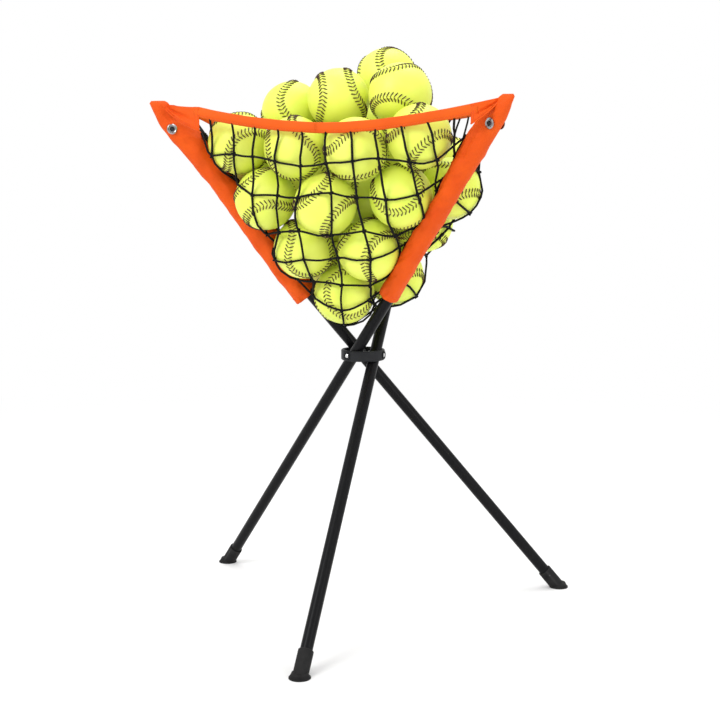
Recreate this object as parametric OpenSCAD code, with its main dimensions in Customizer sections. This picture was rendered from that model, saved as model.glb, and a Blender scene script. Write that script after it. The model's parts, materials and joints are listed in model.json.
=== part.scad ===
// Folding ball caddy: three crossing poles through a hub ring, with a fabric
// and net basket between their upper halves, shown full of 12-inch softballs.
// Millimetres, +Z up. The origin is on the floor, at the middle of the base.

/* [Stand] */
// Height of the hub's middle above the floor
hub_height = 418; // [410:1:425]
// Lean of each pole from upright when the stand is open
pole_lean = 40; // [39.5:0.5:40.5]
// Height of the basket's three corners
rim_height = 813; // [809:1:819]
// Hub axis from the origin, towards +X
hub_x = 10; // [0:1:15]
// Hub axis from the origin, towards +Y
hub_y = 14; // [9:1:19]

/* [Poles] */
// Outer diameter of a pole
pole_d = 18.5; // [17:0.5:18.5]
// Wall of a pole
pole_wall = 1.2; // [0.8:0.1:1.5]
// Distance from the hub axis to each pole's axis at its pivot
pivot_r = 20; // [20:0.5:21]

/* [Hub] */
// Outer diameter of the hub ring
ring_d = 71; // [70:0.5:76]
// Inner diameter of the hub ring
ring_bore = 61; // [61:0.5:62]
// Height of the hub ring
ring_h = 17; // [15:0.5:18]
// Diameter of the pivot rivets
rivet_d = 5; // [4:0.5:6]

/* [Feet] */
// Outer diameter of the rubber socket
foot_d = 23; // [21:0.5:25]
// Length of the socket along the pole
foot_len = 42; // [36:1:46]
// Diameter of the flange on the floor
flange_d = 32; // [29:1:34]

/* [Basket] */
// Outer diameter of a sleeve where it is widest
sleeve_d = 30; // [26:1:30]
// Height of a sleeve's lower end above the hub
sleeve_start_z = 100; // [95:1:110]
// Height of the rim band
band_h = 16; // [14:1:18]
// Sag of the rim band at mid span
band_sag = 30; // [26:1:34]
// Sag of the taut band, between legs a and b
tight_sag = 1; // [0:1:8]
// How far a net panel bulges out at its fullest
net_bulge = 88; // [88:1:94]

/* [Balls] */
// Diameter of a ball
ball_d = 97; // [95:0.5:97]
// Thickness of a ball's cover with its winding
cover_t = 3; // [2:0.5:4]

/* [Hidden] */
LEGS = ["a", "b", "c"];
SIDES = ["ab", "bc", "ca"];
BALL_COUNT = 32;
FIRST_INNER = 29;
TOP_BALL = 3;

$fn = 64;
gap = 0.3;            // clearance between neighbours that move apart
run = 0.05;           // radial running clearance of a pivot
ball_r = ball_d / 2;
pole_r = pole_d / 2;
tube_r = pole_r - pole_wall;
hub = [hub_x, hub_y, hub_height];

// Lengths along a pole, counted from its pivot
floor_s = hub_height / cos(pole_lean);
tip_s = (rim_height - hub_height) / cos(pole_lean);
sleeve_s = sleeve_start_z / cos(pole_lean);
pocket_len = 64;
stud_from_tip = 48;
pole_from_tip = 36;
pole_from_floor = 16;
pin_from_floor = 32;
pocket_s = tip_s - pocket_len;
stud_s = tip_s - stud_from_tip;
pole_top_s = tip_s - pole_from_tip;
pole_foot_s = pole_from_floor - floor_s;
foot_top_s = foot_len - floor_s;
foot_pin_s = pin_from_floor - floor_s;
pin_r = 1.25;
brim_h = 1.8;
flare_h = 7;
lip_h = 2.4;
stud_r = 2;
stud_head_r = 8;
pocket_r = 13;

// ---- directions and points of the frame --------------------------------
function azimuth(k) = -30 + 120 * k;
function outward(k) = [sin(azimuth(k)), -cos(azimuth(k)), 0];
function sideways(k) = [cos(azimuth(k)), sin(azimuth(k)), 0];
function pole_dir(k) = sin(pole_lean) * sideways(k) + [0, 0, cos(pole_lean)];
function on_axis(k, s) = hub + pivot_r * outward(k) + s * pole_dir(k);
function at_height(k, z) = on_axis(k, (z - hub_height) / cos(pole_lean));
function unit(v) = v / norm(v);
function flat(v) = [v[0], v[1], 0];

// Children are drawn with z along pole k, and z = 0 at its pivot
module along_pole(k) {
    translate(hub) rotate([0, 0, azimuth(k)])
        translate([0, -pivot_r, 0]) rotate([0, pole_lean, 0]) children();
}

// Children are drawn with z straight out from the hub axis, at pivot k
module out_from_hub(k) {
    translate(hub) rotate([0, 0, azimuth(k)]) rotate([90, 0, 0]) children();
}

// Children are drawn across pole k at distance s, with z along the pivot's line
module across_pole(k, s) {
    along_pole(k) translate([0, 0, s]) rotate([90, 0, 0]) children();
}

// ---- hub -----------------------------------------------------------------
module ring_body() {
    c = 1.5;
    ri = ring_bore / 2;
    ro = ring_d / 2;
    h = ring_h / 2;
    rotate_extrude($fn = 120) polygon([
        [ri, -h + c], [ri + c, -h], [ro - c, -h], [ro, -h + c],
        [ro, h - c], [ro - c, h], [ri + c, h], [ri, h - c]]);
}

module hub_ring() {
    boss_in = pivot_r + pole_r + gap;
    color("#1d1d1f") difference() {
        union() {
            translate(hub) ring_body();
            for (k = [0:2]) out_from_hub(k)
                translate([0, 0, boss_in]) cylinder(d = 12, h = ring_bore / 2 - boss_in + 2);
            for (k = [0:2]) out_from_hub(k)
                translate([0, 0, ring_d / 2 - 3]) cylinder(d = 13, h = 4);
        }
        for (k = [0:2]) out_from_hub(k) {
            translate([0, 0, boss_in - 1]) cylinder(d = rivet_d, h = 20);
            translate([0, 0, ring_d / 2 - 0.5]) cylinder(d = 9, h = 6);
        }
    }
}

// One rivet with z out from the hub axis: shank, domed head, washer and peened end
module rivet() {
    seat = ring_d / 2 - 0.5;
    inner = pivot_r - pole_r - gap;
    rotate_extrude() polygon([
        [0, inner - 2.6], [3, inner - 2.2], [3.6, inner - 1], [5.5, inner - 1], [5.5, inner],
        [rivet_d / 2, inner], [rivet_d / 2, seat], [3.6, seat], [3.6, seat + 0.6],
        [2.6, seat + 1.3], [1.3, seat + 1.6], [0, seat + 1.7]]);
}

module pivot_rivets() {
    color("silver") for (k = [0:2]) out_from_hub(k) rivet();
}

// ---- legs ----------------------------------------------------------------
module pole(k) {
    color("#141416") difference() {
        along_pole(k) difference() {
            translate([0, 0, pole_foot_s]) cylinder(r = pole_r, h = pole_top_s - pole_foot_s);
            translate([0, 0, pole_foot_s - 1]) cylinder(r = tube_r, h = pole_top_s - pole_foot_s + 2);
        }
        across_pole(k, 0) cylinder(r = rivet_d / 2 + run, h = 40, center = true);
        across_pole(k, stud_s) cylinder(r = stud_r, h = 40, center = true);
        across_pole(k, foot_pin_s) cylinder(r = pin_r, h = 40, center = true);
    }
}

module pole_cap(k) {
    color("#222224") along_pole(k) translate([0, 0, pole_top_s]) rotate_extrude() polygon([
        [0, -8], [tube_r - 0.5, -8], [tube_r, -6.5], [tube_r, 0], [pole_r, 0],
        [pole_r, 1.5], [pole_r - 1.5, 3.2], [0, 4]]);
}

module foot(k) {
    ground = flat(at_height(k, 0));
    color("#19191a") difference() {
        union() {
            along_pole(k) rotate_extrude() polygon([
                [0, -floor_s - 20], [foot_d / 2, -floor_s - 20], [foot_d / 2, foot_top_s - 1.5],
                [foot_d / 2 - 1.5, foot_top_s], [0, foot_top_s]]);
            translate(ground) cylinder(d = flange_d, h = brim_h);
            translate(ground + [0, 0, brim_h]) cylinder(d1 = flange_d - 2, d2 = foot_d, h = flare_h);
        }
        along_pole(k) translate([0, 0, pole_foot_s]) cylinder(r = pole_r, h = foot_len);
        along_pole(k) translate([0, 0, foot_top_s - lip_h])
            cylinder(r1 = pole_r, r2 = pole_r + lip_h / 2, h = lip_h + 0.01);
        across_pole(k, foot_pin_s) cylinder(r = pin_r, h = 40, center = true);
        translate(ground + [0, 0, -50]) cube([120, 120, 100], center = true);
    }
}

module foot_pin(k) {
    color("#8b8b8e") across_pole(k, foot_pin_s) cylinder(r = pin_r, h = foot_d - 1, center = true);
}

// ---- fabric on the poles ---------------------------------------------------
module sleeve(k) {
    t = 1.5;
    r = sleeve_d / 2;
    bore = pole_r + gap;
    top = pocket_s - 0.5;
    low = sleeve_s;
    color("#ff5a14") along_pole(k) rotate_extrude() polygon([
        [bore, low], [r - 2, low], [r, low + 40], [r, top - 90], [pocket_r, top], [bore, top],
        [r - t - 1, top - 90], [r - t, top - 120], [r - t, low + 40], [r - t - 2, low + t],
        [bore, low + t]]);
}

module tip_pocket(k) {
    bore = pole_r + gap;
    color("#ff5a14") difference() {
        along_pole(k) rotate_extrude() polygon([
            [bore, pocket_s], [pocket_r, pocket_s], [pocket_r, tip_s - 30], [10, tip_s - 4],
            [6, tip_s], [0, tip_s], [0, pole_top_s + 5], [bore, pole_top_s + 4]]);
        across_pole(k, stud_s) cylinder(r = stud_r, h = 40, center = true);
        for (m = [0, 1]) across_pole(k, stud_s) mirror([0, 0, m])
            translate([0, 0, pocket_r - 1.6]) cylinder(r = stud_head_r + 0.4, h = 6);
    }
}

module corner_stud(k) {
    seat = pocket_r - 1.6;
    color("silver") across_pole(k, stud_s) {
        cylinder(r = stud_r, h = 2 * seat + 1, center = true);
        for (m = [0, 1]) mirror([0, 0, m]) translate([0, 0, seat]) rotate_extrude() polygon([
            [0, 0], [stud_head_r, 0], [stud_head_r, 0.8], [stud_head_r - 1.6, 2.2],
            [stud_head_r - 3, 1.2], [3.4, 1.2], [2.6, 2.4], [0, 2.6]]);
    }
}

// ---- thin sheets between two poles ------------------------------------------
// Point between poles k and k + 1 at height z. x runs from -1 to 1 across the
// span, inset is left free at each pole, and out bulges the middle outwards.
function span_point(k, x, z, inset, out, fullness) =
    let (a = at_height(k, z), b = at_height((k + 1) % 3, z))
    let (half = norm(b - a) / 2, side = unit(b - a))
    let (w = x * (1 - inset / half), face = [side[1], -side[0], 0])
    (a + b) / 2 + w * half * side + out * (1 - pow(abs(w), fullness)) * face;

function face_of(k) =
    let (side = unit(at_height((k + 1) % 3, rim_height) - at_height(k, rim_height)))
    [side[1], -side[0], 0];

// A closed sheet: rows of outer points, and the same rows moved in by thickness
module sheet(rows, inner_rows) {
    nr = len(rows);
    nc = len(rows[0]);
    half = nr * nc;
    points = concat([for (r = rows) each r], [for (r = inner_rows) each r]);
    faces = [
        for (r = [0:nr - 2]) for (c = [0:nc - 2]) let (p = r * nc + c) each [
            [p, p + nc + 1, p + 1], [p, p + nc, p + nc + 1],
            [half + p, half + p + 1, half + p + nc + 1], [half + p, half + p + nc + 1, half + p + nc]],
        for (c = [0:nc - 2]) let (q = (nr - 1) * nc + c) each [
            [c, c + 1, half + c + 1], [c, half + c + 1, half + c],
            [q, half + q + 1, q + 1], [q, half + q, half + q + 1]],
        for (r = [0:nr - 2]) let (p = r * nc, q = p + nc - 1) each [
            [p, half + p, half + p + nc], [p, half + p + nc, p + nc],
            [q, q + nc, half + q + nc], [q, half + q + nc, half + q]]];
    polyhedron(points = points, faces = faces, convexity = 6);
}

band_t = 3;
band_bow = 24;
band_inset = 27;
band_steps = 20;
band_from_rim = 4;

band_lift = 13.5;      // how far the band is drawn up near its first corner
lift_from = 0.35;
lift_power = 1.3;
function sag(k) = k == 0 ? tight_sag : band_sag;
function band_top(k, x) = rim_height - band_from_rim - sag(k) * (1 - x * x)
    + band_lift * pow(max(0, lift_from - x) / (1 + lift_from), lift_power) * min(1, 4 * (1 + x));
function band_row(k, drop, thick) = [for (i = [0:band_steps])
    let (x = 2 * i / band_steps - 1)
    flat(span_point(k, x, rim_height, band_inset, band_bow, 3)) - thick * face_of(k)
        + [0, 0, band_top(k, x) - drop]];

module rim_band(k) {
    color("#ff6a32") sheet(
        [band_row(k, 0, 0), band_row(k, band_h, 0)],
        [band_row(k, 0, band_t), band_row(k, band_h, band_t)]);
}

// The net bulges most at net_mid_z, and closes as a bowl under the lowest ball
net_mid_z = hub_height + 201;
net_span_z = 178;
bowl_z = hub_height + 97;
bowl_depth = 54;
net_t = 2;
net_inset = 26;
net_below_band = 3;
net_fullness = 7;
net_columns = 12;
net_rows = 12;
bowl_rows = 7;
first_turn = 8;
basket_z = hub_height + 257;
function bulge(z) = net_bulge * (1 - pow(abs((z - net_mid_z) / net_span_z), 3));
function net_point(k, x, z) = span_point(k, x, z, net_inset, bulge(z), net_fullness);
function bowl_point(k, x, turn) =
    let (p = net_point(k, x, bowl_z), c = [hub_x, hub_y, p[2]])
    c + (p - c) * sin(turn) - [0, 0, bowl_depth * cos(turn)];

function net_grid(k) = concat(
    [for (j = [1:bowl_rows]) let (turn = first_turn + (90 - first_turn) * (j - 1) / bowl_rows)
        [for (i = [0:net_columns]) bowl_point(k, 2 * i / net_columns - 1, turn)]],
    [for (j = [0:net_rows]) [for (i = [0:net_columns])
        let (x = 2 * i / net_columns - 1, top = band_top(k, x) - band_h - net_below_band)
        net_point(k, x, bowl_z + (top - bowl_z) * j / net_rows)]]);

function thicker(row) = [for (p = row) p + net_t * unit(p - [hub_x, hub_y, basket_z])];

module net_panel(k) {
    inner = net_grid(k);
    color("#161616") sheet([for (r = inner) thicker(r)], inner);
}

// ---- balls -------------------------------------------------------------------
// Where each ball is dropped in, from the hub; they then push each other apart
dropped = [
    [-105, -40, 387], [-15, -75, 402], [30, 30, 441], [85, -80, 407], [130, -135, 342],
    [-166, -101, 328], [-60, -130, 320], [33, -140, 322], [-127, -103, 247],
    [-20, -125, 247], [95, -110, 257], [-72, -76, 170], [35, -90, 177], [-10, -45, 102],
    [38, 24, 130], [120, 75, 302], [150, -30, 267], [90, 30, 212], [-10, 195, 347],
    [-170, -25, 287], [-50, 40, 132], [55, 160, 282], [0, 105, 382], [-95, 105, 392],
    [-90, 70, 217], [10, 80, 197], [-40, 145, 257], [-125, 65, 307], [-70, -10, 272],
    [20, 65, 292], [75, -15, 327], [20, -25, 252]];

settle_steps = 40;
ball_gap = 0.3;
sleeve_gap = 0.8;
core_gap = 0.2;
function apart(p, others) = [for (q = others) let (d = norm(p - q))
    if (d > 0.001 && d < ball_d + ball_gap) (p - q) / d * (ball_d + ball_gap - d) * 0.45];
function off_poles(p) = [for (k = [0:2])
    let (v = p - on_axis(k, 0), s = v * pole_dir(k), w = v - s * pole_dir(k), d = norm(w))
    let (need = ball_r + sleeve_d / 2 + sleeve_gap)
    if (s < tip_s && d < need) w / d * (need - d)];
function total(vs, i = 0) = i >= len(vs) ? [0, 0, 0] : vs[i] + total(vs, i + 1);
function settle_once(ps) = [for (p = ps) p + total(concat(apart(p, ps), off_poles(p)))];
function settle(ps, n) = n == 0 ? ps : settle(settle_once(ps), n - 1);
places = settle([for (p = dropped) hub + p], settle_steps);

function ball_name(i) = str("ball_", i < 10 ? "0" : "", i);

module cover(i) {
    color("#d9f23c") translate(places[i - 1]) difference() {
        sphere(d = ball_d, $fn = 64);
        sphere(d = ball_d - 2 * cover_t, $fn = 64);
    }
}

module inner_balls() {
    for (i = [FIRST_INNER:BALL_COUNT]) cover(i);
}

module core(i) {
    color("#c9b48a") translate(places[i - 1]) sphere(d = ball_d - 2 * (cover_t + core_gap), $fn = 48);
}

module ball_cores() {
    for (i = [1:BALL_COUNT]) if (i != TOP_BALL) core(i);
}

module top_ball_core() {
    core(TOP_BALL);
}

hub_ring();
pivot_rivets();
for (k = [0:2]) {
    pole(k);
    pole_cap(k);
    foot(k);
    foot_pin(k);
    sleeve(k);
    tip_pocket(k);
    corner_stud(k);
    rim_band(k);
    net_panel(k);
}
for (i = [1:FIRST_INNER - 1]) {
    cover(i);
}
inner_balls();
ball_cores();
top_ball_core();
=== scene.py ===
import json
import math

import bpy
import numpy as np
from mathutils import Matrix, Vector, noise


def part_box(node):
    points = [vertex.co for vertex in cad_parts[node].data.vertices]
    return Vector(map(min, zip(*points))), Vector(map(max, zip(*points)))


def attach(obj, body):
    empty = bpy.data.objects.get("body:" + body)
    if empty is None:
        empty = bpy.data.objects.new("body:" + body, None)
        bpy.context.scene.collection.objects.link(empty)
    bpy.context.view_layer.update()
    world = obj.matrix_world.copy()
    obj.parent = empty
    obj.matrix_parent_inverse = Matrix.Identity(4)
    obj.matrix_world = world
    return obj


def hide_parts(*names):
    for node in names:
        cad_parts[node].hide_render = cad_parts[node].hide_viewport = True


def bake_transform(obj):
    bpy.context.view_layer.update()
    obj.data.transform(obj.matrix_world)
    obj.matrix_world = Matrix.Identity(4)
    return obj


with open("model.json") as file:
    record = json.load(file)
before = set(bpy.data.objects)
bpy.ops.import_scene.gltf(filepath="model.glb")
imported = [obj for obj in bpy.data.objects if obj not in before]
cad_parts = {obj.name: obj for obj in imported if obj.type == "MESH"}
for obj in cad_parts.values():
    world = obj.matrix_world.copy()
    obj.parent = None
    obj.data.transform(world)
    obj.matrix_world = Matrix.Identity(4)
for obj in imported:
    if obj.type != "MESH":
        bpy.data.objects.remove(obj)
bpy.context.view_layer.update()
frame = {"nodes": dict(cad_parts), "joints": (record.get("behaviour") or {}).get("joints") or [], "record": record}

# ---- driving sizes, in metres ----
POLE_R = 0.00925
SLEEVE_START = 0.100        # height of a sleeve's lower end above the hub
RIM_UP = 0.395              # height of the basket's corners above the hub
BAND_HEIGHT = 0.016
BAND_THICK = 0.0030
BAND_SAG = 0.030
TIGHT_SAG = 0.001           # of the band between legs a and b
SAG_POWER = 1.8             # 2 would be a parabola
BAND_LIFT = 0.0135          # how far a band is drawn up near its first corner
LIFT_FROM = 0.35            # share of the half span where that starts
LIFT_POWER = 1.3
LIFT_END = 0.25             # share of the half span over which it ends, at the corner
BAND_BOW = 0.024            # how far a band bows out at mid span
BAND_INSET = 0.027          # left free between a band's end and its pole
BAND_FROM_RIM = 0.004
DRAWN_UP = 0.010            # how far corner c draws the band behind it up
TAUT_UP = 0.003             # how far the taut band is pulled up
GATHERED = 0.006            # how much narrower both are there
WEB_LENGTH = 0.056          # from a corner's tip along the band to the sewn seam
LONG_WEB = 0.092            # the same, on leg c's front
WEB_DROP = 0.012            # how far a web hangs below the band at its seam
FABRIC = 0.0011             # thickness of the sleeve cloth
STUD_HOLE_R = 0.0044        # radius of the hollow in a stud's head, whose shade is painted dark
CORD_R = 0.0018
NET_PITCH = 0.0385          # between the verticals of the net, at the band
NET_DROPS = (0.045, 0.051, 0.050, 0.040)   # between its rows, from the band down
LOW_DROPS = 0.62            # the rows' distances below the sleeves, as a share of those above
SPREAD = 0.025              # how much further out a vertical runs at each row, as a share
NET_VERTICALS = 5           # to each side of the middle one
NET_SHIFT = 0.016           # of the middle one from mid span
TAUT_PITCH = 0.056          # between the verticals under the taut band
TAUT_VERTICALS = 3          # to each side of its middle one
BULGE = 0.088               # how far a net panel bulges out
BULGE_UP = 0.201            # height above the hub where it bulges most
BULGE_SPAN = 0.178          # height over which the bulge fades out, up and down
NET_FULLNESS = 3.5          # the higher, the flatter the bulge's middle
UP = np.array((0.0, 0.0, 1.0))
rng = np.random.RandomState(41)


def unit(v):
    v = np.asarray(v, float)
    return v / np.linalg.norm(v)


def smooth(x):
    x = np.clip(x, 0.0, 1.0)
    return x * x * (3.0 - 2.0 * x)


# ---- the frame: poles, hub, spans ----
record = frame["record"]
joints = {j["name"]: j for j in frame["joints"]}
soles = {m["name"]: np.array(m["pos_m"]) for m in record["mounts"]}
HUB_Z = joints["leg_a_fold"]["pos_m"][2]
RIM_Z = HUB_Z + RIM_UP
SLEEVE_END_Z = HUB_Z + SLEEVE_START


class Leg:
    """One pole: its pivot, its direction, and the directions across it."""

    def __init__(self, name):
        joint = joints[f"leg_{name}_fold"]
        self.name = name
        self.body = joint["child"]
        self.pivot = np.array(joint["pos_m"])
        self.out = unit(joint["axis"])
        self.side = np.cross(UP, self.out)
        reach = np.linalg.norm((soles[f"sole_{name}"] - self.pivot)[:2])
        self.lean = math.atan2(reach, self.pivot[2])
        self.along = math.sin(self.lean) * self.side + math.cos(self.lean) * UP
        self.inner = math.sin(self.lean) * UP - math.cos(self.lean) * self.side
        self.tip = self.distance(RIM_Z)
        self.start = self.distance(self.pivot[2] + SLEEVE_START)

    def distance(self, z):
        """Distance along the pole, from its pivot, at height z."""
        return (z - self.pivot[2]) / math.cos(self.lean)

    def at(self, s, inner=0.0, out=0.0):
        return self.pivot + s * self.along + inner * self.inner + out * self.out

    def at_height(self, z):
        return self.at(self.distance(z))


LEGS = [Leg(name) for name in "abc"]
SIDES = ["ab", "bc", "ca"]
HUB = np.mean([leg.pivot for leg in LEGS], axis=0)


class Span:
    """What lies between two neighbouring poles."""

    def __init__(self, k):
        self.k = k
        self.first = LEGS[k]
        self.second = LEGS[(k + 1) % 3]

    def ends(self, z):
        return self.first.at_height(z), self.second.at_height(z)

    def half(self, z):
        a, b = self.ends(z)
        return np.linalg.norm(b - a) / 2

    def point(self, p, z, out, fullness):
        """Point at height z, p metres from mid span, bulged out by out at mid span."""
        a, b = self.ends(z)
        side = unit(b - a)
        face = np.array((side[1], -side[0], 0.0))
        w = min(1.0, abs(p) / (np.linalg.norm(b - a) / 2))
        return (a + b) / 2 + p * side + out * (1 - w**fullness) * face

    def face(self):
        a, b = self.ends(RIM_Z)
        side = unit(b - a)
        return np.array((side[1], -side[0], 0.0))

    def offset(self, point):
        """Distance of a point from mid span, along the span."""
        a, b = self.ends(RIM_Z)
        return float((point - (a + b) / 2) @ unit(b - a))


SPANS = [Span(k) for k in range(3)]


def gathered(span, share):
    """0 to 1: how much a band is drawn up and gathered at this place."""
    if span.k == 0:
        return smooth((1 - abs(share)) / 0.2)
    if span.k == 1:
        return smooth((share - 0.45) / 0.35) * smooth((1.02 - share) / 0.10)
    return 0.0


def band_top(span, share):
    """Height of the band's top edge. share runs from -1 to 1 across the span."""
    sag = (TIGHT_SAG if span.k == 0 else BAND_SAG) * (1 - abs(share) ** SAG_POWER)
    lift = BAND_LIFT * (max(0.0, LIFT_FROM - share) / (1 + LIFT_FROM)) ** LIFT_POWER
    lift *= min(1.0, (1 + share) / LIFT_END)
    drawn = (TAUT_UP if span.k == 0 else DRAWN_UP) * gathered(span, share)
    return RIM_Z - BAND_FROM_RIM - sag + lift + drawn


def band_height(span, p):
    """Depth of the band, p metres from mid span."""
    return BAND_HEIGHT - GATHERED * gathered(span, p / (span.half(RIM_Z) - BAND_INSET))


def web_length(span, leg):
    """Length of the web from a leg's tip along a span."""
    return LONG_WEB if (span.k, leg.name) == (2, "c") else WEB_LENGTH


def band_point(span, p):
    """Outer face of the rim band, on its top edge, p metres from mid span."""
    reach = span.half(RIM_Z) - BAND_INSET
    point = span.point(p, RIM_Z, BAND_BOW, 3)
    point[2] = band_top(span, max(-1.0, min(1.0, p / reach)))
    return point


# ---- the camera ----
CAMERA_TURN = math.radians(18.11)
CAMERA_TILT = math.radians(7.477)
CAMERA_PLACE = (0.6724, -2.0271, 0.6900)
camera_data = bpy.data.cameras.new("camera")
camera_data.sensor_width = 36.0
camera_data.lens = 66.6
camera_data.clip_start = 0.05
camera = bpy.data.objects.new("camera", camera_data)
camera.location = CAMERA_PLACE
camera.rotation_euler = (math.pi / 2 - CAMERA_TILT, 0.0, CAMERA_TURN)
bpy.context.scene.collection.objects.link(camera)
bpy.context.scene.camera = camera


# ---- node materials ----
class Nodes:
    """A material with a Principled shader, and short ways to add and link nodes."""

    def __init__(self, name):
        self.material = bpy.data.materials.new(name)
        self.material.use_nodes = True
        self.tree = self.material.node_tree
        self.shader = self.tree.nodes["Principled BSDF"]
        self.output = self.tree.nodes["Material Output"]

    def add(self, kind, inputs=None, **settings):
        node = self.tree.nodes.new(kind)
        for key, value in settings.items():
            setattr(node, key, value)
        for key, value in (inputs or {}).items():
            self.plug(node.inputs[key], value)
        return node

    def plug(self, socket, value):
        if isinstance(value, bpy.types.NodeSocket):
            self.tree.links.new(value, socket)
        else:
            socket.default_value = value

    def set(self, **values):
        for key, value in values.items():
            self.plug(self.shader.inputs[key.replace("_", " ")], value)

    def place(self, kind="Object"):
        return self.add("ShaderNodeTexCoord").outputs[kind]

    def stretched(self, vector, scale):
        return self.add("ShaderNodeMapping", {"Vector": vector, "Scale": scale}).outputs[0]

    def noise(self, vector, scale, detail=3.0, roughness=0.5):
        settings = {"Vector": vector, "Scale": scale, "Detail": detail, "Roughness": roughness}
        return self.add("ShaderNodeTexNoise", settings).outputs["Fac"]

    def cells(self, vector, scale, feature="F1"):
        settings = {"Vector": vector, "Scale": scale}
        return self.add("ShaderNodeTexVoronoi", settings, feature=feature).outputs["Distance"]

    def wave(self, vector, scale, direction, distortion=0.0):
        settings = {"Vector": vector, "Scale": scale, "Distortion": distortion}
        node = self.add("ShaderNodeTexWave", settings, bands_direction=direction)
        return node.outputs["Fac"]

    def math(self, operation, a, b=0.0):
        return self.add("ShaderNodeMath", {0: a, 1: b}, operation=operation).outputs[0]

    def ramp(self, factor, stops):
        node = self.add("ShaderNodeValToRGB", {"Fac": factor})
        elements = node.color_ramp.elements
        while len(elements) < len(stops):
            elements.new(0.5)
        for element, (position, colour) in zip(elements, stops):
            element.position = position
            element.color = (*colour, 1.0)
        return node.outputs["Color"]

    def mix(self, factor, a, b):
        a, b = ((*colour, 1.0) if isinstance(colour, tuple) else colour for colour in (a, b))
        return self.add("ShaderNodeMix", {0: factor, 6: a, 7: b}, data_type="RGBA").outputs[2]

    def span(self, value, low, high):
        """The value's 0 to 1 spread over low to high."""
        node = self.add("ShaderNodeMapRange", {"Value": value, "To Min": low, "To Max": high})
        return node.outputs[0]

    def bump(self, *layers):
        """Stacked bump layers, each (height, distance in metres, strength)."""
        normal = None
        for height, distance, strength in layers:
            inputs = {"Height": height, "Distance": distance, "Strength": strength}
            if normal is not None:
                inputs["Normal"] = normal
            normal = self.add("ShaderNodeBump", inputs).outputs[0]
        self.tree.links.new(normal, self.shader.inputs["Normal"])


def ball_leather():
    """Optic yellow synthetic leather, with a pebble grain, and greener by the seams."""
    n = Nodes("ball_leather")
    place = n.place()
    patches = n.noise(place, 14.0, 4.0)
    tone = n.ramp(patches, [(0.32, (0.63, 0.78, 0.060)), (0.5, (0.73, 0.85, 0.090)),
                            (0.72, (0.80, 0.89, 0.130))])
    each = n.add("ShaderNodeObjectInfo").outputs["Random"]
    tinted = n.mix(n.span(each, 0.0, 0.45), tone, (0.84, 0.86, 0.15))
    near_seam = n.add("ShaderNodeAttribute", attribute_name="near_seam").outputs["Fac"]
    scuffs = n.math("MULTIPLY", n.span(n.noise(place, 45.0, 6.0, 0.7), -0.3, 1.0), near_seam)
    colour = n.mix(n.math("MULTIPLY", scuffs, 0.55), tinted, (0.50, 0.56, 0.035))
    grain = n.cells(place, 620.0)
    pores = n.noise(place, 1500.0, 2.0)
    rough = n.span(n.noise(place, 60.0, 4.0), 0.40, 0.56)
    n.set(Base_Color=colour, Roughness=rough, Specular_IOR_Level=0.42, Coat_Weight=0.08,
          Coat_Roughness=0.35, Subsurface_Weight=0.06, Subsurface_Radius=(0.004, 0.005, 0.001),
          Subsurface_Scale=1.0)
    n.bump((grain, 0.00022, 0.45), (pores, 0.00008, 0.3))
    return n.material


def ball_thread():
    """Waxed dark red thread."""
    n = Nodes("ball_thread")
    place = n.place()
    fibres = n.noise(place, 300.0, 3.0)
    colour = n.ramp(fibres, [(0.3, (0.022, 0.005, 0.004)), (0.7, (0.070, 0.014, 0.010))])
    twist = n.wave(place, 900.0, "DIAGONAL", 2.0)
    n.set(Base_Color=colour, Roughness=n.span(twist, 0.45, 0.7))
    n.bump((twist, 0.00012, 0.6))
    return n.material


def woven(name, dark, light, sheen, glow):
    """Coated nylon cloth: a fine weave on the UV map, soft creases and a slight sheen."""
    n = Nodes(name)
    uv = n.place("UV")
    place = n.place()
    warp = n.wave(uv, 620.0, "X")
    weft = n.wave(uv, 620.0, "Y")
    weave = n.math("MAXIMUM", n.math("MULTIPLY", warp, 0.9), weft)
    faded = n.ramp(n.noise(place, 22.0, 5.0, 0.55), [(0.25, dark), (0.75, light)])
    threads = n.mix(n.span(weave, 0.0, 0.16), faded, tuple(0.72 * c for c in dark))
    streaks = n.noise(n.stretched(uv, (40.0, 700.0, 1.0)), 1.0, 3.0)
    colour = n.mix(n.span(streaks, 0.0, 0.14), threads, glow)
    creases = n.noise(n.stretched(uv, (16.0, 60.0, 1.0)), 1.0, 5.0, 0.6)
    rough = n.span(n.noise(place, 90.0, 3.0), 0.52, 0.68)
    n.set(Base_Color=colour, Roughness=rough, Sheen_Weight=sheen, Sheen_Roughness=0.4,
          Sheen_Tint=(1.0, 0.35, 0.10, 1.0), Specular_IOR_Level=0.18)
    n.bump((creases, 0.0011, 0.35), (weave, 0.00016, 0.5))
    return n.material


def sewing_thread():
    n = Nodes("sewing_thread")
    place = n.place()
    twist = n.wave(place, 1200.0, "DIAGONAL", 1.0)
    colour = n.ramp(n.noise(place, 400.0), [(0.3, (0.62, 0.050, 0.006)), (0.7, (0.85, 0.11, 0.016))])
    n.set(Base_Color=colour, Roughness=0.55)
    n.bump((twist, 0.0001, 0.5))
    return n.material


def braided_cord():
    """Black knotted cord, braided along its UV map."""
    n = Nodes("braided_cord")
    uv = n.place("UV")
    place = n.place()
    one = n.wave(n.stretched(uv, (520.0, 3.0, 1.0)), 1.0, "DIAGONAL")
    other = n.wave(n.stretched(uv, (520.0, -3.0, 1.0)), 1.0, "DIAGONAL")
    braid = n.math("MAXIMUM", one, other)
    fuzz = n.noise(place, 700.0, 4.0)
    colour = n.ramp(fuzz, [(0.3, (0.003, 0.003, 0.003)), (0.75, (0.012, 0.012, 0.013))])
    n.set(Base_Color=colour, Roughness=n.span(braid, 0.6, 0.85), Specular_IOR_Level=0.15)
    n.bump((braid, 0.0003, 0.7), (fuzz, 0.0001, 0.4))
    return n.material


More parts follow.
